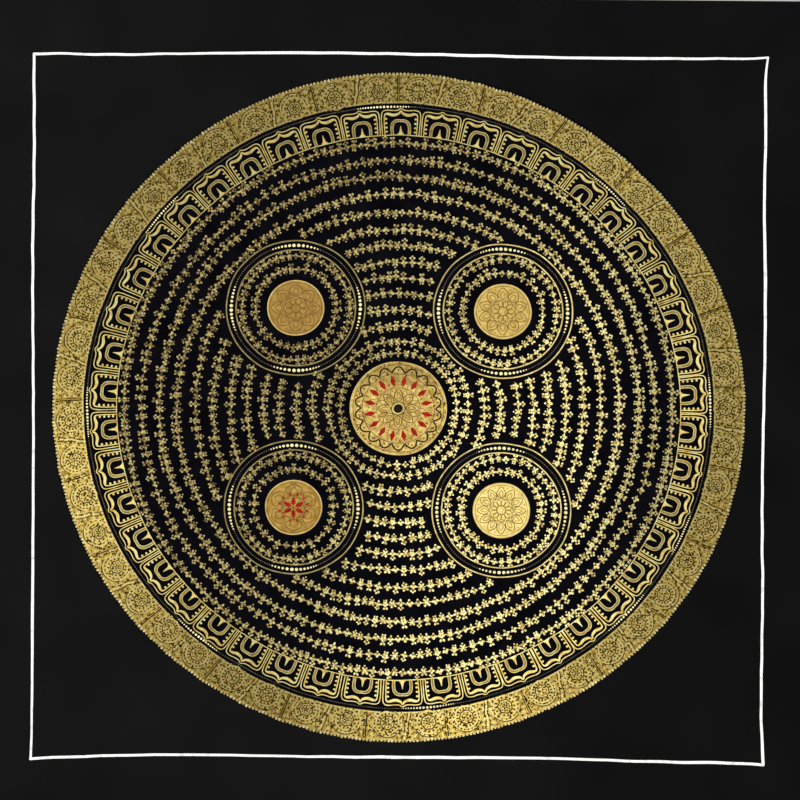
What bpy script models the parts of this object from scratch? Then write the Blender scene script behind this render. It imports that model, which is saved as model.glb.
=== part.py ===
"""Thangka painting: one unmounted canvas, hung by its top edge.

The canvas is a single sheet of sized and primed cotton. It was stored rolled, so its sides
stand a little forward of its middle, hardly at all along the held top edge and most at the
free foot, and the sheet has a few slow swells between.

Metres, +Z up. The painted face looks along -Y. The origin is the middle of the top edge,
in the middle of the cloth's thickness.
"""

import math
from collections import namedtuple

import bpy

WIDTH = 0.580
HEIGHT = 0.577
THICKNESS = 0.0012

# How far each side edge stands forward of the middle of the sheet.
CURL_AT_TOP = 0.001
CURL_AT_FOOT = 0.016
# The curl grows with this power of the distance from the middle, so the middle stays flat.
CURL_POWER = 3

# Slow swells of the hanging cloth. Each is at its full rise at the foot and nothing at the
# held top edge. Lengths are from crest to crest, and start is the place in the wave, in
# turns, at the origin.
Swell = namedtuple("Swell", "rise length_across length_down start")
SWELLS = (
    Swell(rise=0.0034, length_across=0.66, length_down=2.40, start=0.25),
    Swell(rise=0.0012, length_across=0.25, length_down=-1.10, start=0.28),
    Swell(rise=0.0008, length_across=1.90, length_down=0.34, start=0.05),
)

CELLS_ACROSS = 32
CELLS_DOWN = 32

CLOTH_COLOUR = (0.008, 0.008, 0.009, 1.0)
CLOTH_ROUGHNESS = 0.85


def clear_scene():
    for thing in list(bpy.data.objects):
        bpy.data.objects.remove(thing, do_unlink=True)


def new_collection(name):
    collection = bpy.data.collections.new(name)
    bpy.context.scene.collection.children.link(collection)
    return collection


def cloth_material():
    material = bpy.data.materials.new("black_primed_cotton")
    material.use_nodes = True
    shader = material.node_tree.nodes["Principled BSDF"]
    shader.inputs["Base Color"].default_value = CLOTH_COLOUR
    shader.inputs["Roughness"].default_value = CLOTH_ROUGHNESS
    shader.inputs["Metallic"].default_value = 0.0
    material.diffuse_color = CLOTH_COLOUR
    return material


def sheet_y(across, down):
    """Y of the middle of the cloth, at a distance across from the centre line and down from the top."""
    share_down = down / HEIGHT
    curl = CURL_AT_TOP + (CURL_AT_FOOT - CURL_AT_TOP) * share_down
    y = -curl * abs(2 * across / WIDTH) ** CURL_POWER
    for swell in SWELLS:
        turns = across / swell.length_across + down / swell.length_down + swell.start
        y += swell.rise * share_down * math.sin(2 * math.pi * turns)
    return y


def hung_canvas(collection):
    """The sheet: a flat grid of unit size, set upright, shaped and given its thickness."""
    bpy.ops.mesh.primitive_grid_add(
        x_subdivisions=CELLS_ACROSS,
        y_subdivisions=CELLS_DOWN,
        size=1.0,
    )
    canvas = bpy.context.object
    canvas.name = "canvas"
    canvas.data.name = "canvas"
    for vertex in canvas.data.vertices:
        across = vertex.co.x * WIDTH
        down = (0.5 - vertex.co.y) * HEIGHT
        vertex.co = (across, sheet_y(across, down), -down)

    # The grid's upper side becomes the painted face, towards -Y.
    solidify = canvas.modifiers.new("thickness", "SOLIDIFY")
    solidify.thickness = THICKNESS
    solidify.offset = 0.0
    solidify.use_rim = True

    canvas.data.shade_smooth()
    canvas.data.set_sharp_from_angle(angle=math.radians(40))
    canvas.data.materials.append(cloth_material())
    for holder in list(canvas.users_collection):
        holder.objects.unlink(canvas)
    collection.objects.link(canvas)
    return canvas


clear_scene()
hung_canvas(new_collection("thangka_painting"))
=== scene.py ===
"""Thangka painting: one unmounted canvas hung by its top edge, painted in gold, white and red.

Metres, +Z up, the painted face towards -Y and the origin at the middle of the top edge.
All paint is drawn flat first, in millimetres, as on a drawing board: across is +X, up is +Y,
the mandala's middle is the origin, and +Z stands out of the cloth towards whoever looks at it.
"""

import math
import random

import bpy
import numpy as np
from mathutils import Matrix


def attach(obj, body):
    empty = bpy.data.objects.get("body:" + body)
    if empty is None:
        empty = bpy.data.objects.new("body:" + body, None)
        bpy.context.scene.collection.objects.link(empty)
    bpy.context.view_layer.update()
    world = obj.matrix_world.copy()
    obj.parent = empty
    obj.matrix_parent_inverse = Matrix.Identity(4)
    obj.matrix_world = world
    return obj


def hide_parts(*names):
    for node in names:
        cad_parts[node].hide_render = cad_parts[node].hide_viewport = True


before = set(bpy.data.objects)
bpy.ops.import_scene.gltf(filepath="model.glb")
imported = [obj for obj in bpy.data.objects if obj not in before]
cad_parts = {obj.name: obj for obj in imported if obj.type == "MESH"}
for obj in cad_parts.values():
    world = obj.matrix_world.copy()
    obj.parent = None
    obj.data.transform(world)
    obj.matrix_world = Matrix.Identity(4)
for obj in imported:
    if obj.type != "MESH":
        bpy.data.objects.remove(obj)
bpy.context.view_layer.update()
bpy.ops.object.select_all(action="DESELECT")
MM = 0.001


# ---- The canvas ----
# One square of plain-woven cotton, sized, primed and painted black, and hung by its top edge.
# It was stored rolled, so its sides stand forward of its middle, most at the free foot. The
# ground within the mandala has a second coat, of a bluish black. The back is bare cotton.

CLOTH_WIDE = 580 * MM
CLOTH_HIGH = 577 * MM
CLOTH_THICK = 1.2 * MM
CLOTH_CELLS = 96

# How far each side edge stands forward of the middle, and the power of the distance it grows by.
CURL_AT_TOP = 1 * MM
CURL_AT_FOOT = 16 * MM
CURL_POWER = 3

# Slow swells, at their full rise at the foot and nothing at the top: rise, crest to crest
# across and down, and the place in the wave at the origin, in turns.
SWELLS = (
    (3.4 * MM, 0.66, 2.4, 0.25),
    (1.2 * MM, 0.25, -1.1, 0.28),
    (0.8 * MM, 1.9, 0.34, 0.05),
)

# The mandala's middle is this far below the top edge, and the second coat reaches this far round.
MIDDLE_DOWN = 288.3 * MM
SECOND_COAT = 236 * MM
WEAVE_PITCH = 0.62 * MM


def cloth_y(across, down):
    """Y of the middle of the cloth, at distances across from the centre line and down from the top."""
    share_down = down / CLOTH_HIGH
    curl = CURL_AT_TOP + (CURL_AT_FOOT - CURL_AT_TOP) * share_down
    y = -curl * np.abs(2 * across / CLOTH_WIDE) ** CURL_POWER
    for rise, length_across, length_down, start in SWELLS:
        turns = across / length_across + down / length_down + start
        y = y + rise * share_down * np.sin(2 * math.pi * turns)
    return y


def points_of(piece):
    points = np.empty(len(piece.data.vertices) * 3)
    piece.data.vertices.foreach_get("co", points)
    return points.reshape(-1, 3)


def set_points(piece, points):
    piece.data.vertices.foreach_set("co", points.ravel())
    piece.data.update()


def select_only(*pieces):
    """Selects these pieces, the first as the active one, or nothing if there are none."""
    bpy.ops.object.select_all(action="DESELECT")
    for piece in pieces:
        piece.select_set(True)
        bpy.context.view_layer.objects.active = pieces[0]


def feed(node, inputs):
    """Links a node's inputs to other nodes' outputs, or sets them to numbers, vectors or colours."""
    for socket, value in inputs.items():
        if isinstance(value, bpy.types.NodeSocket):
            node.id_data.links.new(value, node.inputs[socket])
        else:
            node.inputs[socket].default_value = value


def new_finish(name, roughness, metallic=0.0, shine=0.5):
    """A new material, its shader, and the place on the object that its patterns read."""
    material = bpy.data.materials.new(name)
    material.use_nodes = True
    shader = material.node_tree.nodes["Principled BSDF"]
    feed(shader, {"Roughness": roughness, "Metallic": metallic, "Specular IOR Level": shine})
    place = material.node_tree.nodes.new("ShaderNodeTexCoord").outputs["Object"]
    return material, shader, place


def new_node(kind, output, inputs, **settings):
    """An output of a new node; the first of the node's inputs is another node's output."""
    node = next(iter(inputs.values())).id_data.nodes.new("ShaderNode" + kind)
    for name, setting in settings.items():
        setattr(node, name, setting)
    feed(node, inputs)
    return node.outputs[output]


def noise(place, patch, detail=3.0):
    """Cloudy unevenness with patches of about this size, in metres."""
    return new_node("TexNoise", "Fac", {"Vector": place, "Scale": 1 / patch, "Detail": detail})


def ramp(value, stops):
    """Colours by value; each stop is a position and a linear colour."""
    colour = new_node("ValToRGB", "Color", {"Fac": value})
    elements = colour.node.color_ramp.elements
    while len(elements) < len(stops):
        elements.new(1.0)
    for element, (position, stop) in zip(elements, stops):
        element.position = position
        element.color = (*stop, 1.0)
    return colour


def stretched(value, start, end, first, last, **settings):
    """A value that runs from start to end, made to run from first to last."""
    inputs = {"Value": value, "From Min": start, "From Max": end, "To Min": first, "To Max": last}
    return new_node("MapRange", "Result", inputs, **settings)


def spread(value, low, high):
    """A noise, mostly between 0.3 and 0.7, spread over low to high."""
    return stretched(value, 0.3, 0.7, low, high)


def mixed(share, first, second):
    """Two colours mixed; share is 0 for the first and 1 for the second."""
    return new_node("Mix", "Result", {"Factor": share, "A": first, "B": second}, data_type="RGBA")


def multiplied(colour, tone):
    """A colour made darker by a grey tone."""
    inputs = {"A": colour, "B": tone, "Factor": 1.0}
    return new_node("Mix", "Result", inputs, data_type="RGBA", blend_type="MULTIPLY")


def tone_along(place, direction, start, end, first, last):
    """A grey that changes from first to last between two distances along a direction."""
    along = new_node("VectorMath", "Value", {0: place, 1: direction}, operation="DOT_PRODUCT")
    return stretched(along, start, end, first, last, interpolation_type="SMOOTHSTEP")


def woven(place):
    """Height of the cloth's plain weave in the XZ plane: warp and weft threads by turns on top."""
    inputs = {"Vector": place, "Scale": math.pi / 10 / WEAVE_PITCH, "Distortion": 0.6, "Detail": 1.0}
    warp = new_node("TexWave", "Fac", inputs, bands_direction="X")
    weft = new_node("TexWave", "Fac", inputs, bands_direction="Z")
    return new_node("Math", "Value", {0: warp, 1: weft}, operation="MULTIPLY")


def roughened(shader, place, patch, low, high, detail=3.0):
    """Roughness that wanders between low and high in patches of this size."""
    feed(shader, {"Roughness": spread(noise(place, patch, detail), low, high)})


def bumped(shader, height, distance, strength, under=None):
    """Bumps of this height, in metres, on top of any that are under them."""
    normal = new_node("Bump", "Normal", {"Height": height, "Distance": distance, "Strength": strength})
    if under is not None:
        feed(normal.node, {"Normal": under})
    feed(shader, {"Normal": normal})
    return normal


def black_ground():
    """The primed black face: a neutral black, and within the mandala a bluish second coat."""
    material, shader, place = new_finish("black_ground", 0.85, shine=0.02)
    first_coat = ramp(
        noise(place, 60 * MM), ((0.35, (0.005, 0.005, 0.0051)), (0.65, (0.0066, 0.0066, 0.0066)))
    )
    # Painted light: the margin is greyer on the left and darker to the right, as lit from the left.
    lit_from_left = tone_along(place, (1, 0, 0.35), -0.3, 0.1, 1.0, 0.68)
    second_coat = ramp(
        noise(place, 22 * MM), ((0.35, (0.0009, 0.0009, 0.0019)), (0.65, (0.0024, 0.0024, 0.004)))
    )
    # How far each point is from the mandala's middle, seen along Y.
    inputs = {"Vector": place, "Location": (0, 0, MIDDLE_DOWN), "Scale": (1, 0, 1)}
    away = new_node("VectorMath", "Value", {0: new_node("Mapping", "Vector", inputs)}, operation="LENGTH")
    outside = new_node("Math", "Value", {0: away, 1: SECOND_COAT}, operation="GREATER_THAN")
    feed(shader, {"Base Color": mixed(outside, second_coat, multiplied(first_coat, lit_from_left))})
    roughened(shader, place, 15 * MM, 0.72, 0.9)
    brushed = bumped(shader, noise(place, 3 * MM), 0.05 * MM, 0.6)
    bumped(shader, woven(place), 0.06 * MM, 0.5, brushed)
    return material


def bare_cotton():
    """The unpainted back: off-white cotton, a little grey where the black has come through."""
    material, shader, place = new_finish("bare_cotton", 0.9, shine=0.2)
    colour = ramp(
        noise(place, 70 * MM, 6.0),
        ((0.3, (0.42, 0.385, 0.315)), (0.5, (0.485, 0.445, 0.365)), (0.7, (0.53, 0.49, 0.41))),
    )
    weave = woven(place)
    feed(shader, {"Base Color": mixed(spread(weave, 0.75, 1.0), (0.1, 0.09, 0.07, 1.0), colour)})
    roughened(shader, place, 10 * MM, 0.82, 0.97)
    bumped(shader, weave, 0.12 * MM, 0.8)
    return material


def thickened(flat, thickness, **settings):
    """A flat piece made this thick, half of it to each side."""
    body = flat.modifiers.new("body", "SOLIDIFY")
    body.thickness = thickness
    body.offset = 0
    for name, setting in settings.items():
        setattr(body, name, setting)
    bpy.ops.object.modifier_apply(modifier=body.name)
    return flat


bpy.ops.mesh.primitive_grid_add(x_subdivisions=CLOTH_CELLS, y_subdivisions=CLOTH_CELLS, size=1)
canvas = bpy.context.object
canvas.name = canvas.data.name = "painted_canvas"
flat = points_of(canvas)
across = flat[:, 0] * CLOTH_WIDE
down = (0.5 - flat[:, 1]) * CLOTH_HIGH
set_points(canvas, np.column_stack((across, cloth_y(across, down), -down)))
canvas.data.materials.append(black_ground())
canvas.data.materials.append(bare_cotton())
# The back and the edges take the second material.
thickened(canvas, CLOTH_THICK, material_offset=1, material_offset_rim=1)
bpy.ops.object.shade_smooth_by_angle(angle=math.radians(40))
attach(canvas, "root")
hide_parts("canvas")


# ---- White border line ----
# One white line of opaque paint round the whole picture. It was ruled by hand in four strokes
# that are not quite straight or square, and the brush ran drier at its upper right corner.

LINE_WIDE = 1.85
LINE_UNEVEN = 0.07
# The line's knots clockwise from its upper left corner, which is the first of each side.
LINE_SIDES = (
    ((-249, 247.9), (-225, 248.0), (-200, 247.5), (-150, 248.4), (-75, 249.5), (-20, 249.4),
     (60, 248.3), (110, 247.5), (160, 247.4), (240, 248.2)),
    ((249.7, 248.7), (248.7, 240), (248.3, 226), (248.8, 195), (248.3, 150), (249.5, 95),
     (249.8, 50), (249.0, -45), (249.3, -90), (249.9, -120), (249.8, -205), (250.2, -222)),
    ((251.6, -247.2), (236, -246.4), (205, -246.8), (165, -247.2), (110, -246.7), (0, -247.1),
     (-70, -247.7), (-180, -247.2)),
    ((-249.4, -247.7), (-248.9, -225), (-248.6, -150), (-248.5, 0), (-249.2, 75),
     (-249.3, 120), (-248.6, 180), (-248.9, 225)),
)
# A corner is kept sharp by a knot this far before and after it.
LINE_CORNER = 0.7
# Past this far both across and up, the dry brush drew this share of the width.
DRY_PAST = 235
DRY_SHARE = 0.8
# Paint stands out of the cloth by half this share of a stroke's width.
PAINT_RISE = 0.15
HAND_REACH = 0.2
# The mandala was set out a little off the board's middle, and its rings are not quite round: a
# turn clockwise from the top in degrees, and mm outwards there at this radius.
MANDALA_SHIFT = (0.25, -0.5)
SWAY_RADIUS = 200
RING_SWAY = (
    (0, 0.7), (15, -0.2), (45, -1.0), (60, 0.0), (75, 0.8), (105, 0.9), (135, 0.3), (195, 0.3),
    (232, -0.2), (255, -0.1), (275, 0.4), (315, 0.05), (345, 0.75), (360, 0.7),
)


def brush(points, widths, closed=False, steps=3):
    """One brush stroke along a smooth line through points on the board, as a flattened tube.

    widths is one width, or a width for each point; steps is the pieces between two points."""
    select_only()
    bpy.ops.curve.primitive_bezier_curve_add()
    stroke = bpy.context.object
    line = stroke.data.splines[0]
    line.bezier_points.add(len(points) - 2)
    if not isinstance(widths, (list, tuple)):
        widths = [widths] * len(points)
    for knot, (across, up), width in zip(line.bezier_points, points, widths):
        knot.co = (across, up, 0)
        knot.handle_left_type = knot.handle_right_type = "AUTO"
        knot.radius = width
    line.use_cyclic_u = closed
    line.resolution_u = steps
    stroke.data.bevel_depth = 0.5
    stroke.data.bevel_resolution = 0
    stroke.data.use_fill_caps = True
    bpy.ops.object.convert(target="MESH")
    stroke = bpy.context.object
    stroke.scale = (1, 1, PAINT_RISE)
    bpy.ops.object.transform_apply()
    return stroke


def edit_all():
    bpy.ops.object.mode_set(mode="EDIT")
    bpy.ops.mesh.select_all(action="SELECT")


def joined(*strokes):
    """Strokes made one drawing, with the caps of the tubes closed."""
    select_only(*strokes)
    if len(strokes) > 1:
        bpy.ops.object.join()
    drawing = bpy.context.object
    edit_all()
    bpy.ops.mesh.remove_doubles(threshold=0.002)
    bpy.ops.mesh.normals_make_consistent(inside=False)
    bpy.ops.object.mode_set(mode="OBJECT")
    return drawing


def unsteady(points):
    """A hand's small unsteadiness: slow waves over the board."""
    across, up = points[:, :2].T.copy()
    sideways = np.sin(across / 6.3 + 1.7 * np.sin(up / 8.9)) + np.sin(up / 4.7 + across / 13)
    upwards = np.sin(up / 7.1 + 1.3 * np.sin(across / 5.9)) + np.sin(across / 5.1 - up / 11)
    points[:, 0] += HAND_REACH * sideways / 2
    points[:, 1] += HAND_REACH * upwards / 2
    return points


def out_of_true(points):
    """The mandala's own small errors of setting out."""
    turn = np.degrees(np.arctan2(points[:, 0], points[:, 1])) % 360
    radius = np.hypot(points[:, 0], points[:, 1])
    points[:, :2] *= (1 + np.interp(turn, *zip(*RING_SWAY)) * radius / SWAY_RADIUS ** 2)[:, None]
    points[:, :2] += MANDALA_SHIFT
    return points


def lay_on(piece, name, paint, slot="gold_paint", lift=0.0):
    """Lays a drawing on the cloth, at its size and place there and lift millimetres proud."""
    board = unsteady(points_of(piece))
    if slot != "white_paint":
        board = out_of_true(board)
    low = board[:, :2].min(0)
    size = board[:, :2].max(0) - low
    across, up, rise = board.T * MM
    down = MIDDLE_DOWN - up
    y = cloth_y(across, down) - CLOTH_THICK / 2 - rise - lift * MM
    set_points(piece, np.column_stack((across, y, -down)))
    piece.name = piece.data.name = name
    # The paint's own map is the board itself, so that every stroke has its own place on it.
    corners = np.empty(len(piece.data.loops), dtype=np.int32)
    piece.data.loops.foreach_get("vertex_index", corners)
    chart = piece.data.uv_layers.new(name="OFBake")
    chart.uv.foreach_set("vector", ((board[corners, :2] - low) / size).astype(np.float32).ravel())
    select_only(piece)
    bpy.ops.object.shade_smooth_by_angle(angle=math.radians(60))
    piece.data.materials.clear()
    piece.data.materials.append(paint)
    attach(piece, "root")


def flat_paint(name, roughness, shine, patch, stops, weave):
    """Opaque paint or ink, uneven where the brush ran dry, with a little of the weave through it."""
    material, shader, place = new_finish(name, roughness, shine=shine)
    feed(shader, {"Base Color": ramp(noise(place, patch, 5.0), stops)})
    roughened(shader, place, patch / 2, 0.5, 0.75)
    bumped(shader, woven(place), 0.03 * MM, weave)
    return material


def line_points():
    """The line's knots in order, with each corner made of three close ones."""
    points = []
    for number, side in enumerate(LINE_SIDES):
        corner = side[0]
        close = []
        for other in (LINE_SIDES[number - 1][-1], side[1]):
            share = LINE_CORNER / math.dist(corner, other)
            close.append([start + share * (end - start) for start, end in zip(corner, other)])
        points += [close[0], corner, close[1], *side[1:]]
    return points


knots = line_points()
hand = random.Random(5)
widths = [LINE_WIDE * (1 + hand.gauss(0, LINE_UNEVEN)) for knot in knots]
for number, knot in enumerate(knots):
    if min(knot) > DRY_PAST:
        widths[number] *= DRY_SHARE
border = joined(brush(knots, widths, closed=True, steps=8))
whites = ((0.3, (0.62, 0.61, 0.58)), (0.45, (0.84, 0.84, 0.82)), (0.6, (0.92, 0.92, 0.91)))
white_paint = flat_paint("white_paint", 0.6, 0.2, 4 * MM, whites, 0.5)
lay_on(border, "white_border_line", white_paint, "white_paint")


# ---- Gold band ----
# A broad ring of gold paint round the mandala, with a toothed rim of short dabs and a thin
# bright line at its inner edge. Over it run roundels, stems and dividers, drawn in dark ink
# and in a paler gold, with curls and stipple between. Painted sheen brightens the foot.

BAND_INNER = 214.3
BAND_OUTER = 234.3
BAND_PROUD = 0.1
RIM_TEETH = 600
TOOTH_RADIUS = 234.6
TOOTH_WIDE = 1.95
TOOTH_HIGH = 2.1
BAND_REPEATS = 25
BAND_MIDDLE = 222.4
# How bright the band's gold is by turn clockwise from the top, in degrees: a painted sheen.
BAND_SHEEN_TONES = (
    (0, 0.36), (40, 0.47), (65, 0.43), (100, 0.38), (128, 0.46), (145, 0.58), (158, 0.88),
    (170, 1.0), (182, 0.72), (200, 0.38), (215, 0.38), (235, 0.62), (247, 0.8), (263, 0.8),
    (278, 0.55), (295, 0.41), (325, 0.33), (360, 0.36),
)
# The same for the rim's gold: a painted sheen.
RIM_SHEEN_TONES = (
    (0, 0.56), (60, 0.54), (90, 0.5), (130, 0.62), (158, 1.0), (172, 0.95), (200, 0.62),
    (222, 0.72), (245, 0.95), (265, 0.92), (290, 0.58), (330, 0.5), (360, 0.56),
)
# How far the band's drawing has drifted from its even places: a turn, and degrees clockwise.
BAND_DRIFT = (
    (0, -0.3), (35, -0.2), (60, -0.4), (93, -0.8), (121, -0.9), (150, -1.3), (165, -1.7),
    (185, -2.0), (250, -1.8), (264, -2.3), (308, -1.8), (340, -1.0), (360, -0.3),
)
STIPPLE = 1900
# The kinds of flower that the roundels hold: how many spokes, and how many dots in the heart.
FLOWERS = ((14, 5), (16, 4), (12, 6), (18, 3))
# A dab's widest rings are inside its sphere, so it is made larger, and it is laid on thicker.
DAB_TRUE = 1.15
DAB_RISE = 1.3


def tone_by_turn(place, tones):
    """A grey that changes round the mandala; each tone is a turn and how bright it is there."""
    # Brings the cloth's XZ plane to XY, with the mandala's middle at the origin and its top
    # towards -X, where the radial gradient starts and ends.
    inputs = {
        "Vector": place,
        "Location": (-MIDDLE_DOWN, 0, 0),
        "Scale": (-1, 1, -1),
        "Rotation": (math.pi / 2, 0, math.pi / 2),
    }
    seen = new_node("Mapping", "Vector", inputs)
    round_it = new_node("TexGradient", "Fac", {"Vector": seen}, gradient_type="RADIAL")
    return ramp(round_it, [(turn / 360, (tone, tone, tone)) for turn, tone in tones])


def gold_paint(
    name, dull, middle, bright, metallic=0.5, roughness=0.45, patch=7, stops=(0.32, 0.5, 0.66),
    tones=None, shaded_colours=((0, 0, 0),) * 3, across=None,
):
    """Gold paint laid by brush: patchy, with a brushed sheen and the weave through it.

    patch is the size of its patches in millimetres, and stops are where in their noise the three
    colours stand. By turn, as painted shade and sheen, it goes from the shaded colours at a tone
    of 0 to the others at 1. across is a direction, two distances along it from the mandala's
    middle, and the tone at each, which darkens the colour towards one side."""
    material, shader, place = new_finish(name, roughness, metallic=metallic, shine=0.2)
    patches = noise(place, patch * MM, 7.0)
    colour = ramp(patches, list(zip(stops, (dull, middle, bright))))
    if tones:
        colour = mixed(tone_by_turn(place, tones), ramp(patches, list(zip(stops, shaded_colours))), colour)
    if across:
        direction, start, end, first, last = across
        middle_along = -direction[2] * MIDDLE_DOWN
        tone = tone_along(place, direction, middle_along + start, middle_along + end, first, last)
        colour = multiplied(colour, tone)
    feed(shader, {"Base Color": colour})
    roughened(shader, place, 2.5 * MM, roughness - 0.1, roughness + 0.14, 4.0)
    streaks = bumped(shader, noise(place, 0.9 * MM), 0.05 * MM, 0.5)
    bumped(shader, woven(place), 0.04 * MM, 0.4, streaks)
    return material


def ink(name, dark, light):
    return flat_paint(name, 0.7, 0.03, 3 * MM, ((0.35, dark), (0.65, light)), 0.4)


def ring(radius, width, segments, middle=(0, 0)):
    select_only()
    bpy.ops.mesh.primitive_torus_add(
        major_radius=radius, minor_radius=width / 2, major_segments=segments, minor_segments=4,
        location=(*middle, 0),
    )
    circle = bpy.context.object
    circle.scale = (1, 1, PAINT_RISE)
    bpy.ops.object.transform_apply()
    return circle


def dab(across, up, length, width, turn=0.0, sides=6):
    """One touch of the brush: a drop of paint, long along its turn, in degrees from +X."""
    select_only()
    bpy.ops.mesh.primitive_uv_sphere_add(
        segments=sides, ring_count=3, radius=0.5, location=(across, up, 0),
        rotation=(0, 0, math.radians(turn)),
    )
    touch = bpy.context.object
    touch.scale = (length * DAB_TRUE, width * DAB_TRUE, width * PAINT_RISE * DAB_RISE)
    bpy.ops.object.transform_apply()
    return touch


def stencil(*strokes):
    """The points and faces of strokes made one drawing, which is then taken away."""
    drawing = joined(*strokes)
    cut = points_of(drawing), [tuple(face.vertices) for face in drawing.data.polygons]
    bpy.data.objects.remove(drawing)
    return cut


def leaned(points, degrees):
    """A drawing's across, up and rise, once it is turned clockwise on the board."""
    turn = math.radians(degrees)
    x, y, rise = points.T
    across = x * math.cos(turn) + y * math.sin(turn)
    up = y * math.cos(turn) - x * math.sin(turn)
    return np.array((across, up, rise))


def pieced(parts, middle):
    """One piece made of parts round a middle: the across, up, rise and faces of each."""
    points, faces, count = [], [], 0
    for across, up, rise, part_faces in parts:
        points.append(np.column_stack((middle[0] + across, middle[1] + up, rise)))
        faces += [tuple(corner + count for corner in face) for face in part_faces]
        count += len(rise)
    mesh = bpy.data.meshes.new("drawing")
    mesh.from_pydata(np.concatenate(points).tolist(), [], faces)
    piece = bpy.data.objects.new("drawing", mesh)
    bpy.context.scene.collection.objects.link(piece)
    return piece


def copies(stencils, places, middle=(0, 0)):
    """One piece made of copies of drawings, each bent round the mandala or round a medallion.

    A place is (which drawing, turn clockwise from the top in degrees, radius of the drawing's
    zero line, radius at which its widths are true, lean in degrees, size)."""
    parts = []
    for which, turn, foot, true_at, lean, size in places:
        drawn, faces = stencils[which]
        x, y, rise = leaned(drawn, lean) * size
        angle = math.radians(turn) + x / true_at
        parts.append(((foot + y) * np.sin(angle), (foot + y) * np.cos(angle), rise, faces))
    return pieced(parts, middle)


def flat_ring(inner, outer, thick):
    """A flat painted band between two radii."""
    select_only()
    bpy.ops.mesh.primitive_circle_add(vertices=360, radius=inner)
    band = bpy.context.object
    edit_all()
    half_way = (inner + outer) / 2
    for growth in (half_way / inner, outer / half_way):
        bpy.ops.mesh.extrude_edges_move()
        bpy.ops.transform.resize(value=(growth, growth, 1))
    bpy.ops.mesh.select_all(action="SELECT")
    bpy.ops.mesh.normals_make_consistent(inside=False)
    bpy.ops.object.mode_set(mode="OBJECT")
    return thickened(band, 2 * thick)


def around(radius, turn, middle=(0, 0)):
    """The point at a turn, in degrees clockwise from the top, round a middle."""
    angle = math.radians(turn)
    return middle[0] + radius * math.sin(angle), middle[1] + radius * math.cos(angle)


def arch(radius, reach, width):
    """A stroke over the top of a circle, to this many degrees on each side."""
    steps = max(2, round(reach / 22.5))
    return brush([around(radius, reach * (2 * knot / steps - 1)) for knot in range(steps + 1)], width)


def wavy_circle(radius, wave, waves, width):
    """A circle drawn with small waves, as round a flower."""
    points = [around(radius + wave * (-1) ** knot, 180 * knot / waves) for knot in range(2 * waves)]
    return brush(points, width, closed=True, steps=2)


def rays(count, near, far, width, start=0.0):
    """Short dabs set round the middle like the spokes of a wheel."""
    turns = [start + 360 * number / count for number in range(count)]
    return [dab(*around((near + far) / 2, turn), far - near, width, 90 - turn) for turn in turns]


def pair(across, up, length, width, turn=0.0):
    """Two dabs, alike on each side of the middle line."""
    return [dab(side * across, up, length, width, side * turn) for side in (-1, 1)]


def curls(across, up, size, turn, width, way):
    """Two commas, alike on each side: spiral strokes that open from thick heads."""
    strokes = []
    for side in (-1, 1):
        points = []
        for knot in range(4):
            reach = size * (0.2 + 0.8 * knot / 3)
            points.append(around(reach, side * (turn + way * 75 * knot), (side * across, up)))
        strokes.append(brush(points, [width * 1.5, width * 1.2, width, width * 0.5]))
    return strokes


def flower_ink(spokes, heart):
    """A roundel's flower in ink: a heart of dots, a ring of dots and a ring of short spokes."""
    return [
        wavy_circle(4.6, 0.35, spokes // 2, 0.8),
        *rays(heart, 0.4, 2.2, 1.2),
        *rays(heart * 2 + 1, 2.6, 3.8, 0.95, start=17),
        *rays(spokes, 5.3, 7.1, 1.1),
        *rays(spokes + 5, 8.0, 9.3, 1.05, start=7),
    ]


def flower_gold(spokes, heart):
    """The same flower's light lines, between those in ink."""
    return [
        wavy_circle(3.8, 0.15, spokes // 2, 0.8),
        wavy_circle(7.6, 0.3, spokes // 2, 0.8),
        *rays(heart, 0.5, 2.3, 0.9, start=180 / heart),
        *rays(spokes, 5.2, 6.9, 0.6, start=180 / spokes),
    ]


def corner_ink():
    """Ink between a roundel and its neighbours: an arch over it, curls and dots beside it."""
    return [
        arch(10.4, 66, 0.75),
        *curls(9.6, 6.6, 1.7, 100, 0.75, 1),
        *curls(11.4, 2.2, 1.5, 170, 0.75, -1),
        *curls(10.8, -2.6, 1.8, 60, 0.75, 1),
        *curls(7.6, -6.3, 1.4, 20, 0.7, -1),
        *pair(12.4, 6.2, 1.2, 1.0),
        *pair(12.6, -0.8, 1.2, 1.0),
        *pair(11.6, 9.4, 1.6, 0.9, 30),
        *pair(9.0, 10.2, 1.5, 0.9, -20),
        *pair(12.2, -5.6, 1.3, 0.9, 50),
        *pair(4.4, -7.4, 1.4, 0.8, 20),
        *pair(9.9, -6.9, 1.3, 0.9, 70),
    ]


def corner_gold():
    """Light lines between the roundels: an arch over each, leaves at its foot and shoulders."""
    strokes = [arch(9.7, 105, 0.85), *curls(11.8, -2.2, 1.9, 0, 0.8, 1)]
    strokes += [*pair(5.4, -7.3, 1.6, 1.0, 20), *pair(12.3, 4.0, 1.5, 1.0, 60)]
    for side in (-1, 1):
        for leaf in (((8.8, -7.4), (7.8, -4.6), (9.8, -1.2)), ((12.9, 10.0), (10.8, 8.4), (9.5, 5.4))):
            strokes.append(brush([(side * across, up) for across, up in leaf], [0.4, 1.2, 0.4]))
    return strokes


def divider_ink():
    return [
        brush([(-0.55, -7.8), (-0.7, -2.0), (-0.45, 4.0), (-0.6, 11.2)], 0.95, steps=2),
        brush([(0.75, -7.8), (0.6, -2.0), (0.85, 4.0), (0.6, 11.2)], 0.6, steps=2),
    ]


def stem_ink():
    """The dark edges of the stem in the middle of a repeat."""
    return [
        brush([(-3.4, -8.0), (-2.4, -3.6), (-0.9, 0.6), (-0.7, 5.2), (0.6, 11.0)], 0.75, steps=2),
        brush([(-1.0, -8.0), (0.1, -3.2), (1.6, 0.6), (1.8, 4.8), (3.8, 11.0)], 0.75, steps=2),
    ]


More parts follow.
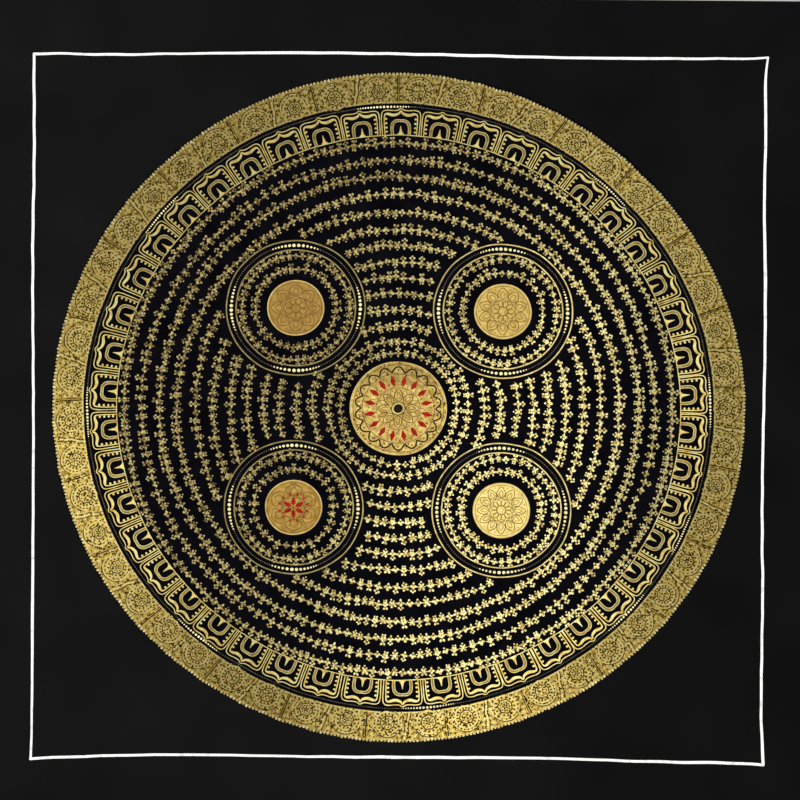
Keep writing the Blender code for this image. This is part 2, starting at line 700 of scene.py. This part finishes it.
def stem_gold():
    """The stem itself, with a leaf on each side."""
    stem = [(-2.2, -8.0), (-1.2, -3.4), (0.4, 0.8), (0.6, 5.2), (2.4, 11.0)]
    return [
        brush(stem, [1.5, 1.0, 1.1, 0.9, 1.5]),
        brush([(0.4, 1.4), (2.4, 3.2), (3.0, 5.6)], [0.3, 0.9, 0.3]),
        brush([(-0.9, -2.8), (-3.0, -1.2), (-3.2, 1.2)], [0.3, 0.9, 0.3]),
    ]


def drifted(turn, drift):
    return turn + float(np.interp(turn % 360, *zip(*drift)))


def on_band(which, turn, lean, radius=BAND_MIDDLE, size=1.0):
    return which, turn, radius, BAND_MIDDLE, lean, size


# The band's golds take their painted sheen by turn.
band_gold = gold_paint(
    "band_gold", (0.35, 0.22, 0.024), (0.72, 0.505, 0.105), (1.0, 0.75, 0.21), patch=2.4, tones=BAND_SHEEN_TONES
)
rim_gold = gold_paint(
    "rim_gold", (0.3, 0.22, 0.05), (0.74, 0.57, 0.2), (1.0, 0.92, 0.5), patch=2.2, tones=RIM_SHEEN_TONES
)
band_pale_gold = gold_paint(
    "band_pale_gold", (0.8, 0.62, 0.17), (1.0, 0.8, 0.27), (1.0, 0.9, 0.41), patch=4, tones=BAND_SHEEN_TONES
)
dark_ink = ink("dark_ink", (0.012, 0.007, 0.001), (0.05, 0.028, 0.003))

lay_on(flat_ring(BAND_INNER, BAND_OUTER, BAND_PROUD), "gold_band", band_gold)
hand = random.Random(3)
tooth_places = [
    (0, 360 * number / RIM_TEETH, TOOTH_RADIUS + hand.gauss(0, 0.12), TOOTH_RADIUS, hand.gauss(0, 5),
     1 + hand.gauss(0, 0.08))
    for number in range(RIM_TEETH)
]
lay_on(copies([stencil(dab(0, 0, TOOTH_WIDE, TOOTH_HIGH))], tooth_places), "gold_rim_teeth", rim_gold)
inner_line = ring(BAND_INNER + 0.7, 0.9, 360)
lay_on(inner_line, "gold_band_inner_line", band_pale_gold, lift=BAND_PROUD)

STEP = 360 / BAND_REPEATS
CORNER = len(FLOWERS)
DIVIDER = CORNER + 1
STEM = CORNER + 2
hand = random.Random(11)
flower_places, corner_places = [], []
for number in range(2 * BAND_REPEATS):
    turn = drifted(STEP * (number + 0.5) / 2, BAND_DRIFT) + hand.gauss(0, 0.12)
    radius = BAND_MIDDLE + hand.gauss(0, 0.3)
    kind = hand.randrange(len(FLOWERS))
    flower_places.append(on_band(kind, turn, hand.uniform(0, 360), radius, 1 + hand.gauss(0, 0.03)))
    corner_places.append(on_band(CORNER, turn, hand.gauss(0, 3), radius))
divider_places, stem_places = [], []
for number in range(BAND_REPEATS):
    turn = drifted(STEP * number, BAND_DRIFT) + hand.gauss(0, 0.15)
    divider_places.append(on_band(DIVIDER, turn, hand.gauss(0, 3)))
    turn = drifted(STEP * (number + 0.5), BAND_DRIFT)
    stem_places.append(on_band(STEM, turn, hand.gauss(0, 3)))
ink_stencils = [stencil(*flower_ink(*flower)) for flower in FLOWERS]
ink_stencils += [stencil(*corner_ink()), stencil(*divider_ink()), stencil(*stem_ink())]
band_ink = copies(ink_stencils, flower_places + corner_places + divider_places + stem_places)
lay_on(band_ink, "band_ink_drawing", dark_ink, lift=BAND_PROUD)

speck = stencil(dab(0, 0, 1, 0.8))
dots = [
    (0, hand.uniform(0, 360), hand.uniform(BAND_INNER + 1.5, BAND_OUTER - 1.0), BAND_MIDDLE,
     hand.uniform(0, 180), hand.uniform(0.9, 1.9))
    for number in range(STIPPLE)
]
lay_on(copies([speck], dots), "band_ink_stipple", dark_ink, lift=BAND_PROUD)

# A divider has no light lines.
gold_stencils = [stencil(*flower_gold(*flower)) for flower in FLOWERS]
gold_stencils += [stencil(*corner_gold()), None, stencil(*stem_gold())]
band_light = copies(gold_stencils, flower_places + corner_places + stem_places)
lay_on(band_light, "band_pale_drawing", band_pale_gold, lift=BAND_PROUD)


# ---- Beads inside the band ----
# A ring of small dots of gold runs in the black gap inside the band. Most are dull and tiny;
# eight clusters, and a small ninth, are of larger and brighter ones.

BEAD_RING = 211.9
# The middles of the clusters in degrees, and how much of the full size each grows to.
CLUSTERS = (
    (88, 1.0), (114, 0.45), (132, 1.0), (174, 1.0), (220, 1.0), (269, 1.0), (310, 0.75), (357, 1.0),
    (42, 0.75),
)
# A bead that has swelled by more than this share is one of the large ones.
LARGE_SWELL = 0.12

bead = stencil(dab(0, 0, 1, 1, sides=8))
faint_gold = gold_paint("faint_gold", (0.08, 0.07, 0.04), (0.14, 0.12, 0.066), (0.24, 0.2, 0.11), patch=4)
bright_gold = gold_paint(
    "bright_gold", (0.78, 0.66, 0.29), (0.94, 0.82, 0.41), (1.0, 0.94, 0.55), patch=5
)


def lay_beads(name, radius, least, most, gap, clusters, reach, start, middle=(0, 0)):
    """Lays a ring of dots that swell at each cluster, with the tiny and the large ones apart.

    reach is how far a cluster spreads from its middle, in degrees, and start is a turn between two
    clusters, where the ring begins and ends."""
    tiny, large = [], []
    turn = start
    while turn < start + 360 - math.degrees(least / radius):
        swell = 0.0
        for cluster, share in clusters:
            off = abs((turn - cluster + 180) % 360 - 180)
            swell = max(swell, share * (1 - off / reach))
        size = least + (most - least) * swell
        (large if swell > LARGE_SWELL else tiny).append((0, turn, radius, radius, 0.0, size))
        turn += math.degrees((size + gap) / radius)
    lay_on(copies([bead], tiny, middle), name + "_tiny", faint_gold)
    lay_on(copies([bead], large, middle), name + "_large", bright_gold)


lay_beads("bead_ring", BEAD_RING, least=0.7, most=1.8, gap=0.7, clusters=CLUSTERS, reach=5.5, start=20)


# ---- Ring of lotus petals ----
# Forty-six lotus petals in gold outline stand round the mandala, tips outwards, each with a
# thick cap, dots along its sides, an inner arch and a bright spike on the base line. They were
# set out by eye, so that they drift a little off their even places.

PETALS = 46
PETAL_FOOT = 191.9
PETAL_TRUE_AT = 200.0
# One side of a petal, in mm across from its middle line and up from the base line, from its top.
CAP = ((0.0, 17.2), (0.9, 15.7), (2.9, 14.5), (5.6, 14.2), (8.3, 15.0), (10.3, 14.9), (11.0, 13.0))
CAP_WIDTHS = (0.7, 1.3, 1.85, 2.05, 1.75, 1.1, 0.7)
SIDE = ((11.0, 13.4), (11.2, 9.0), (11.2, 4.5), (11.1, 0.4))
SIDE_DOTS = ((9.9, 11.6), (9.9, 8.5), (9.9, 5.4), (9.9, 2.5))
CONTOUR = (
    (0.0, 18.8), (2.0, 17.7), (5.0, 17.4), (9.6, 17.7), (12.0, 16.8), (12.9, 14.0), (13.0, 7.5),
    (12.9, 0.0),
)
ARCH = ((0.0, 10.2), (3.2, 10.0), (5.4, 8.0), (6.1, 4.5), (6.0, 0.2))
ARCH_WIDE = 1.9
ARCH_PROUD = 0.06
# How bright the petals' gold is by turn: a painted sheen.
PETAL_SHEEN_TONES = (
    (0, 0.53), (30, 0.6), (60, 0.63), (82, 0.79), (100, 0.76), (120, 0.67), (136, 0.86),
    (150, 1.0), (178, 1.0), (195, 0.7), (212, 0.56), (240, 0.84), (262, 0.83), (285, 0.6),
    (320, 0.48), (360, 0.53),
)
# How far each petal stands from its even place: a turn, and degrees clockwise.
PETAL_DRIFT = (
    (0, 0.1), (30, 0.0), (45, 0.1), (65, 0.4), (80, 0.4), (95, 0.1), (120, -0.2), (135, -0.4),
    (150, -0.9), (165, -1.3), (180, -1.2), (195, -0.9), (240, -0.95), (270, -0.65), (285, -0.4),
    (300, 0.25), (345, 0.3), (360, 0.1),
)


def both_sides(points):
    """Points of a line that starts on the middle line, with its mirror image before it."""
    return [(-across, up) for across, up in reversed(points[1:])] + list(points)


def petal_gold():
    strokes = [
        brush(both_sides(CAP), [*reversed(CAP_WIDTHS[1:]), *CAP_WIDTHS]),
        brush(both_sides(CONTOUR), 0.68),
        brush([(-2.1, 0.3), (0, 0.5), (2.1, 0.3)], 1.5, steps=2),
        brush([(0, 0.2), (0, 2.0), (0, 6.3)], [4.0, 2.0, 0.3]),
    ]
    for side in (-1, 1):
        strokes.append(brush([(side * across, up) for across, up in SIDE], 0.72, steps=2))
    for across, up in SIDE_DOTS:
        strokes += pair(across, up, 1.9, 1.6)
    return strokes


def petal_arch_edges():
    """The two light lines at the arch's edges, and the dash at its crown."""
    inner = [(across * 0.85, up * 0.92) for across, up in ARCH]
    outer = [(across * 1.13, up * 1.07) for across, up in ARCH]
    return brush(both_sides(inner), 0.4), brush(both_sides(outer), 0.4), dab(0, 10.3, 1.6, 0.7)


# The petals' golds take their painted sheen by turn.
petal_gold_paint = gold_paint(
    "petal_gold", (0.72, 0.5, 0.125), (1.0, 0.78, 0.24), (1.0, 0.95, 0.41), patch=5, tones=PETAL_SHEEN_TONES
)
dull_gold = gold_paint(
    "dull_gold", (0.17, 0.125, 0.037), (0.32, 0.24, 0.083), (0.49, 0.38, 0.15), patch=4, tones=PETAL_SHEEN_TONES
)
hand = random.Random(PETALS)
petal_places = [
    (0, drifted(360 * number / PETALS, PETAL_DRIFT), PETAL_FOOT, PETAL_TRUE_AT, hand.gauss(0, 0.4),
     1 + hand.gauss(0, 0.01))
    for number in range(PETALS)
]
petals = copies([stencil(*petal_gold())], petal_places)
lay_on(petals, "lotus_petals", petal_gold_paint)
arches = copies([stencil(brush(both_sides(ARCH), ARCH_WIDE))], petal_places)
lay_on(arches, "lotus_arches", dull_gold)
arch_edges = copies([stencil(*petal_arch_edges())], petal_places)
lay_on(arch_edges, "lotus_arch_edges", petal_gold_paint, lift=ARCH_PROUD)
lay_on(ring(PETAL_FOOT, 0.62, 360), "lotus_base_line", petal_gold_paint)


# ---- Rows of garland ----
# Fourteen rings of a running garland fill the field: a thin stem with small blossoms, pairs of
# leaves, buds and berries, each painted with single touches of a fine brush. The rows stop
# short of the four medallions. A painted sheen brightens the gold towards the right and the
# foot, and painted shade dulls it towards the left and the top.

ROW_RADII = (186.7, 174.6, 163.0, 150.6, 138.2, 126.2, 114.6, 102.7, 91.9, 81.3, 69.6, 58.4, 47.7, 39.6)
# Beyond these radii are the outer and the middle rows, and within the last smaller sprigs.
OUTER_ROWS = 160
MIDDLE_ROWS = 75
SMALL_ROWS = 50
SPRIG_PITCH = 5.45
# The range of the sprigs' shares of a row, and the part of them that come in their order.
SPRIG_ROOM = (0.78, 1.22)
IN_ORDER = 0.6
ROW_WAVER = 0.3
# Painted sheen: how bright the gold is by turn, in the rows by the disc in the middle, by the
# petals and between.
INNER_ROW_SHEEN_TONES = (
    (0, 0.45), (15, 0.42), (30, 0.28), (50, 0.6), (75, 0.95), (90, 1.0), (120, 1.0), (135, 0.9),
    (150, 0.8), (180, 0.95), (200, 0.5), (215, 0.28), (240, 0.15), (270, 0.16), (300, 0.06),
    (330, 0.08), (345, 0.3), (360, 0.45),
)
MIDDLE_ROW_SHEEN_TONES = (
    (0, 0.27), (30, 0.32), (50, 0.64), (65, 0.88), (90, 0.94), (120, 1.0), (150, 1.0), (180, 1.0),
    (200, 0.45), (215, 0.2), (240, 0.1), (270, 0.12), (300, 0.04), (330, 0.06), (360, 0.27),
)
OUTER_ROW_SHEEN_TONES = (
    (0, 0.05), (15, 0.12), (30, 0.26), (50, 0.58), (65, 0.8), (90, 0.86), (120, 0.7), (138, 0.9),
    (150, 1.0), (180, 1.0), (200, 0.42), (215, 0.18), (240, 0.16), (270, 0.14), (300, 0.03),
    (345, 0.0), (360, 0.05),
)
# Painted shade: the far right of the field is duller, from and to this far from the middle,
# and its tones.
ROW_PAINTED_SHADE = ((1, 0, 0), 0.11, 0.2, 1.0, 0.5)
MEDALLION_CLEAR = 49.7
# The medallions' middles, in mm across and up from the mandala's middle.
MEDALLIONS = {
    "upper_left": (-70.3, 70.5),
    "upper_right": (71.0, 69.3),
    "lower_left": (-71.0, -70.6),
    "lower_right": (70.8, -71.4),
}


# The rows' gold falls by turn from its painted sheen to painted shade colours.
def row_paint(name, tones):
    return gold_paint(
        name, (0.46, 0.32, 0.095), (1.0, 0.815, 0.3), (1.0, 0.945, 0.47), patch=1.8,
        stops=(0.4, 0.5, 0.6), tones=tones, across=ROW_PAINTED_SHADE,
        shaded_colours=((0.077, 0.052, 0.014), (0.21, 0.155, 0.053), (0.49, 0.38, 0.14)),
    )


def stem_and(*dabs):
    """A sprig: its length of the stem that runs along the row, with dabs across it."""
    half = SPRIG_PITCH / 2 + 0.1
    return stencil(brush([(-half, 0), (0, 0.1), (half, 0)], 0.5, steps=2), *dabs)


def row_places(radius, seed, pitch=SPRIG_PITCH, size=1.0, clear_of=()):
    """Places for the sprigs of one row, wavering by hand, with none on a medallion."""
    hand = random.Random(seed)
    count = round(2 * math.pi * radius / (pitch * hand.uniform(0.93, 1.08)))
    first_wave, second_wave, turn = (hand.uniform(0, 360) for wave in range(3))
    room = [hand.uniform(*SPRIG_ROOM) for sprig in range(count)]
    places = []
    for number in range(count):
        turn += 180 * (room[number - 1] + room[number]) / sum(room)
        slow = math.sin(math.radians(3 * turn + first_wave))
        quick = math.sin(math.radians(8 * turn + second_wave))
        waver = ROW_WAVER * (slow + 0.6 * quick) * min(1.0, radius / 100)
        foot = radius + waver + hand.gauss(0, 0.3)
        which = number % len(sprigs) if hand.random() < IN_ORDER else hand.randrange(len(sprigs))
        lean = hand.gauss(0, 8)
        scale = size * (0.7 + 0.3 * room[number]) * hand.uniform(0.94, 1.1)
        spot = around(foot, turn)
        if all(math.dist(spot, medallion) >= MEDALLION_CLEAR for medallion in clear_of):
            places.append((which, turn, foot, foot, lean, scale))
    return places


inner_row_gold = row_paint("inner_row_gold", INNER_ROW_SHEEN_TONES)
row_gold = row_paint("row_gold", MIDDLE_ROW_SHEEN_TONES)
outer_row_gold = row_paint("outer_row_gold", OUTER_ROW_SHEEN_TONES)
sprigs = [
    # Blossom of five petals, with a pair of leaves above and a smaller pair below.
    stem_and(*rays(5, 0.3, 2.15, 1.8), *pair(0.9, 3.3, 2.0, 1.6, 60), *pair(0.8, -2.6, 1.5, 1.25, -55)),
    # Tulip with its two leaves, over a berry.
    stem_and(dab(0, 0.9, 2.8, 2.2, 90), *pair(1.35, -0.3, 2.4, 1.8, 50), dab(0, -2.3, 1.5, 1.5)),
    # Trefoil on a leaf, under three berries.
    stem_and(
        dab(0, 1.3, 2.0, 1.8, 90), *pair(1.2, -0.1, 2.2, 1.8, 20), *pair(1.15, 3.0, 1.5, 1.5),
        dab(0, 4.0, 1.5, 1.4), dab(0, -2.0, 2.3, 1.5, 90),
    ),
    # Bud between four leaves, over a berry.
    stem_and(
        dab(0, 0, 2.1, 2.0), *pair(1.1, 1.5, 2.5, 1.7, 55), *pair(1.0, -1.5, 2.1, 1.5, -50),
        dab(0.1, -3.2, 1.2, 1.2),
    ),
]
for number, radius in enumerate(ROW_RADII, start=1):
    size = 1.0 if radius > SMALL_ROWS else 0.92
    paint = outer_row_gold if radius > OUTER_ROWS else row_gold if radius > MIDDLE_ROWS else inner_row_gold
    row = copies(sprigs, row_places(radius, seed=number, size=size, clear_of=MEDALLIONS.values()))
    lay_on(row, f"garland_row_{number:02d}", paint)


# ---- Four medallions ----
# Each is two thin gold rings with a ring of graded beads between, two short rows of garland, and
# a gold disc with a lotus rosette drawn on it. Each rosette has its own number of petals, and the
# lower left one has a small red rosette over it.

OUTER_RING = 47.3
MEDALLION_BEADS = 44.0
INNER_RING = 40.7
RING_WIDE = 0.85
MEDALLION_ROWS = (36.7, 27.4)
MEDALLION_CLUSTERS = [(turn, 1.0) for turn in range(0, 360, 90)]
DISC = 19.6
# How far the paint of a disc, its rim and its red rosette stand out of the cloth.
DISC_PROUD = 0.1
RIM_PROUD = 0.08
RED_PROUD = 0.14
# Each disc's number of petals, and its gold, which is partly the disc's own paint and partly a
# painted sheen, brighter towards the lower right.
DISCS = {
    "upper_left": (8, ((0.26, 0.145, 0.028), (0.34, 0.2, 0.042), (0.42, 0.26, 0.065))),
    "upper_right": (10, ((0.43, 0.28, 0.063), (0.56, 0.39, 0.098), (0.69, 0.5, 0.15))),
    "lower_left": (6, ((0.28, 0.155, 0.026), (0.38, 0.225, 0.042), (0.48, 0.31, 0.07))),
    "lower_right": (12, ((0.67, 0.5, 0.135), (0.85, 0.655, 0.2), (0.97, 0.78, 0.29))),
}


def painted_disc(radius, middle, segments, cuts):
    select_only()
    bpy.ops.mesh.primitive_circle_add(
        vertices=segments, radius=radius, fill_type="TRIFAN", location=(*middle, 0)
    )
    disc = bpy.context.object
    bpy.ops.object.transform_apply()
    edit_all()
    bpy.ops.mesh.subdivide(number_cuts=cuts)
    bpy.ops.object.mode_set(mode="OBJECT")
    return thickened(disc, 2 * DISC_PROUD)


def turned(stroke, count, middle=(0, 0), start=0.0):
    """Copies of a stroke set evenly round a middle, which it is drawn above."""
    drawn, faces = stencil(stroke)
    turns = [start + 360 * number / count for number in range(count)]
    return pieced([(*leaned(drawn, turn), faces) for turn in turns], middle)


def petal_outline(near, far, half_width, width):
    """A pointed petal's outline, standing above the middle, from its foot to its tip."""
    shares = ((0.8, 0.2), (1.0, 0.45), (0.55, 0.8))
    side = [(half_width * wide, near + high * (far - near)) for wide, high in shares]
    other_side = [(-across, up) for across, up in reversed(side)]
    return brush([(0, near), *side, (0, far), *other_side], width, closed=True, steps=2)


def rosette(petals, middle):
    """The drawing on a disc: two rounds of lotus petals in rings, with dots between."""
    wide = math.pi * 12.5 / petals
    return joined(
        ring(17.9, 0.35, 64, middle),
        ring(8.2, 0.4, 48, middle),
        ring(3.0, 0.4, 24, middle),
        turned(petal_outline(8.6, 16.8, wide * 0.9, 0.5), petals, middle),
        turned(petal_outline(9.6, 14.2, wide * 0.42, 0.4), petals, middle),
        turned(petal_outline(3.2, 7.7, wide * 0.5, 0.42), petals, middle, 180 / petals),
        turned(dab(0, 16.4, 0.8, 0.8), petals, middle, 180 / petals),
        turned(dab(0, 10.2, 0.7, 0.7), petals, middle, 180 / petals),
        turned(dab(0, 1.6, 0.7, 0.7), 5, middle),
    )


def disc_gold(name, dull, middle, bright, across=None):
    return gold_paint(name, dull, middle, bright, metallic=0.4, roughness=0.48, patch=4, across=across)


# The medallions' rings are brighter towards the right and the foot: a painted sheen.
medallion_gold = gold_paint(
    "medallion_gold", (0.53, 0.4, 0.13), (0.73, 0.56, 0.19), (0.92, 0.77, 0.32), patch=5,
    across=((0.96, 0, -0.28), -0.06, 0.08, 0.38, 1.0),
)
thin_ink = ink("thin_ink", (0.075, 0.036, 0.011), (0.18, 0.095, 0.027))
red_ink = ink("red_ink", (0.19, 0.007, 0.004), (0.34, 0.016, 0.009))
disc_rim_gold = gold_paint("disc_rim_gold", (0.5, 0.35, 0.1), (0.66, 0.5, 0.17), (0.8, 0.66, 0.26))

for number, (where, middle) in enumerate(MEDALLIONS.items(), start=1):
    name = "medallion_" + where
    rings = joined(ring(OUTER_RING, RING_WIDE, 160, middle), ring(INNER_RING, RING_WIDE, 160, middle))
    lay_on(rings, name + "_rings", medallion_gold)
    lay_beads(
        name + "_beads", MEDALLION_BEADS, least=0.8, most=2.5, gap=0.85,
        clusters=MEDALLION_CLUSTERS, reach=24.0, start=45, middle=middle,
    )
    places = []
    for radius in MEDALLION_ROWS:
        places += row_places(radius, seed=100 * number + round(radius), pitch=5.0, size=0.9)
    lay_on(copies(sprigs, places, middle), name + "_garland", row_gold)
    petals, golds = DISCS[where]
    disc = painted_disc(DISC, middle, segments=64, cuts=3)
    lay_on(disc, name + "_disc", disc_gold(f"disc_gold_{where}", *golds))
    rim = ring(DISC - 0.4, 0.8, 96, middle)
    lay_on(rim, name + "_disc_rim", disc_rim_gold, lift=RIM_PROUD)
    lay_on(rosette(petals, middle), name + "_rosette", thin_ink, lift=DISC_PROUD)

middle = MEDALLIONS["lower_left"]
red_rosette = joined(
    turned(brush([(0, 1.6), (0, 4.4), (0, 7.8)], [0.8, 3.2, 0.6]), 6, middle),
    turned(dab(0, 9.6, 1.6, 2.4), 12, middle, 15),
    dab(*middle, 1.8, 1.8),
)
lay_on(red_rosette, "medallion_lower_left_red_rosette", red_ink, "red_paint", RED_PROUD)


# ---- The disc in the middle ----
# A larger gold disc with a ring of red almond petals, dark scallops and a lotus round a dark
# eye. The gold is speckled where the ground shows through.

CENTRE_DISC = 33.2
LOTUS_PETALS = 8
RED_PETALS = 16
SCALLOPS = 18
SPECKLES = 380
EYE_RING_PROUD = 0.2
# Its top is duller, from and to this far above the middle.
CENTRE_DULLER = ((0, 0, 1), 0.011, 0.018, 1.0, 0.7)


def scallop(radius, half_width, rise, width):
    """One small arch, which stands on a ring of this radius."""
    side = [(0, radius + rise), (half_width * 0.5, radius + rise * 0.8), (half_width, radius)]
    return brush(both_sides(side), width, steps=2)


centre_gold = disc_gold(
    "centre_disc_gold", (0.38, 0.24, 0.05), (0.56, 0.39, 0.1), (0.78, 0.6, 0.19), across=CENTRE_DULLER
)
black_ink = ink("black_ink", (0.004, 0.003, 0.002), (0.018, 0.013, 0.006))
lay_on(painted_disc(CENTRE_DISC, (0, 0), segments=96, cuts=5), "centre_disc", centre_gold)
rim = ring(CENTRE_DISC - 0.4, 0.8, 128)
lay_on(rim, "centre_disc_rim", disc_rim_gold, lift=RIM_PROUD)

hand = random.Random(29)
speckles = [
    (0, hand.uniform(0, 360), CENTRE_DISC * hand.uniform(0.2, 0.95) ** 0.5, 30.0, hand.uniform(0, 180),
     hand.uniform(0.7, 1.7))
    for number in range(SPECKLES)
]
centre_lines = joined(
    ring(30.9, 0.45, 128),
    ring(24.6, 0.5, 128),
    ring(14.8, 0.4, 96),
    turned(petal_outline(5.2, 14.0, 2.9, 0.65), LOTUS_PETALS),
    turned(petal_outline(6.6, 11.6, 1.2, 0.5), LOTUS_PETALS),
    turned(petal_outline(8.0, 14.2, 1.5, 0.4), LOTUS_PETALS, start=180 / LOTUS_PETALS),
    turned(dab(0, 27.2, 1.6, 1.1, 90), SCALLOPS),
    copies([speck], speckles),
)
lay_on(centre_lines, "centre_disc_thin_lines", thin_ink, lift=DISC_PROUD)
eye = joined(
    turned(scallop(25.0, 4.3, 4.6, 1.1), SCALLOPS),
    ring(4.6, 0.6, 48),
    dab(0, 0, 6.0, 6.0, sides=24),
)
lay_on(eye, "centre_disc_dark_lines", black_ink, lift=DISC_PROUD)
red_round = joined(
    turned(brush([(0, 16.0), (0, 19.4), (0, 23.6)], [0.8, 3.6, 0.6]), RED_PETALS, start=180 / RED_PETALS),
    turned(dab(0, 16.6, 0.9, 0.9), RED_PETALS),
)
lay_on(red_round, "centre_disc_red", red_ink, "red_paint", DISC_PROUD)
lay_on(ring(3.7, 0.6, 48), "centre_eye_ring", disc_rim_gold, lift=EYE_RING_PROUD)


# ---- Floor, light and camera ----
# A plain pale floor well below the hanging, soft light from the front, and a long lens, 15
# degrees above the picture, as far off as makes every edge run parallel.

FLOOR_DOWN = 1.25
PICTURE_MIDDLE = (0, 0, -0.288)
LAMP_SIZE = 1.8
# Where each lamp stands, and its power in watts.
LAMPS = {
    "key_light": ((-1.6, -3.0, 1.6), 84),
    "fill_light": ((1.8, -2.8, 0.6), 28),
}
SENSOR = 36.0
LENS = 1200.0
FRAME_WIDE = 0.5456
CAMERA_UP = math.radians(15)
CAMERA_ROLL = math.radians(0.42)
CAMERA_AIM = (0.0014, 0.0, -0.2827)

select_only()
bpy.ops.mesh.primitive_plane_add(size=60, location=(0, 0, -FLOOR_DOWN))
floor = bpy.context.object
floor.name = floor.data.name = "studio_floor"
material, shader, place = new_finish("pale_floor", 0.8, shine=0.3)
greys = ((0.3, (0.6, 0.6, 0.6)), (0.7, (0.64, 0.64, 0.64)))
feed(shader, {"Base Color": ramp(noise(place, 0.5), greys)})
floor.data.materials.append(material)

for name, (place, power) in LAMPS.items():
    bpy.ops.object.light_add(type="AREA", location=place)
    lamp = bpy.context.object
    lamp.name = name
    lamp.data.shape = "SQUARE"
    lamp.data.size = LAMP_SIZE
    lamp.data.energy = power
    lamp.visible_camera = False
    x, y, z = (aim - start for aim, start in zip(PICTURE_MIDDLE, place))
    lamp.rotation_euler = (math.atan2(math.hypot(x, y), -z), 0, math.pi + math.atan2(x, -y))

world = bpy.data.worlds.new("studio")
world.use_nodes = True
feed(world.node_tree.nodes["Background"], {"Color": (0.92, 0.92, 0.92, 1), "Strength": 0.84})
bpy.context.scene.world = world
bpy.context.scene.view_settings.view_transform = "Standard"

distance = LENS / SENSOR * FRAME_WIDE
back = distance * math.cos(CAMERA_UP)
rise = distance * math.sin(CAMERA_UP)
bpy.ops.object.camera_add(location=(CAMERA_AIM[0], CAMERA_AIM[1] - back, CAMERA_AIM[2] + rise))
camera = bpy.context.object
camera.name = "long_lens"
camera.data.sensor_width = SENSOR
camera.data.lens = LENS
camera.data.clip_end = 100
tilt = Matrix.Rotation(math.pi / 2 - CAMERA_UP, 3, "X")
camera.rotation_euler = (tilt @ Matrix.Rotation(CAMERA_ROLL, 3, "Z")).to_euler()
bpy.context.scene.camera = camera
